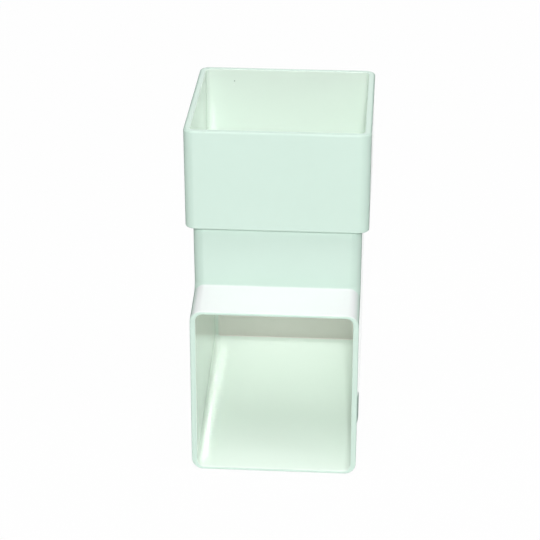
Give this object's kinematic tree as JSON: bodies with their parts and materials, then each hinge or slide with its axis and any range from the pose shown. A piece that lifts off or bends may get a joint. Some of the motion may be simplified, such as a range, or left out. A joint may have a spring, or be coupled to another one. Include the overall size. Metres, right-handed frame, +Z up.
{
  "type": "downpipe shoe",
  "caption": "Square rainwater downpipe shoe: a socket on top takes the pipe, a straight neck leads down and a square spout throws the water forward.",
  "frame": {"origin": "on the pipe's axis, in the plane of the stop inside the socket that the pipe's end meets", "axes": "+Z up along the pipe and out of the socket, -Y the way the water leaves the spout, +X across the width to the right as seen from in front of the mouth"},
  "size_m": [0.0706, 0.0864, 0.137],
  "materials": {
    "pale_mint_pvc": "injection-moulded PVC-U, pale mint white, glossy"
  },
  "bodies": {
    "root": {"downpipe_shoe": "pale_mint_pvc"}
  },
  "joints": []
}
